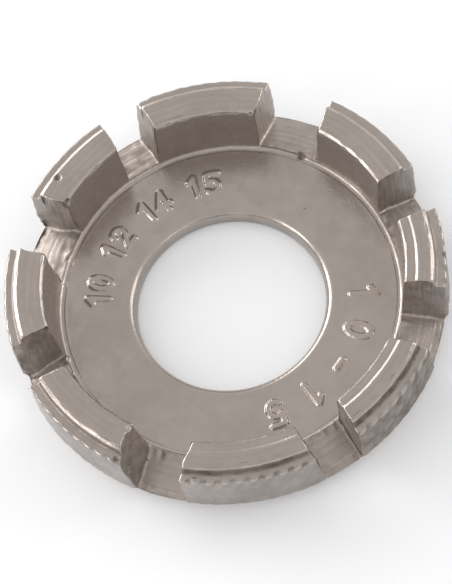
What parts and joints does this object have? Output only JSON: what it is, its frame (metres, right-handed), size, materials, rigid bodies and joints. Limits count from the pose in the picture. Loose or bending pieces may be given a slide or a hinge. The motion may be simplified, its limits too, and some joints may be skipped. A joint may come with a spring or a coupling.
{
  "type": "spoke wrench",
  "caption": "Round castellated spoke wrench: a knurled ring of eight upstanding teeth, with eight notches of graded widths between them that turn spoke nipples, around a flat web with a large central hole.",
  "frame": {"origin": "centre of the central hole, on the underside", "axes": "+Z along the hole towards the tops of the teeth, +Y along the widest notch, +X close to the next widest"},
  "size_m": [0.0304, 0.0303, 0.0059],
  "materials": {
    "rim_nickel": "dull nickel plate over a cast and milled rim",
    "web_nickel": "dull nickel plate over a cast plate, smoother than the rim"
  },
  "bodies": {
    "root": {"toothed_rim": "rim_nickel", "web_disc": "web_nickel"}
  },
  "joints": []
}
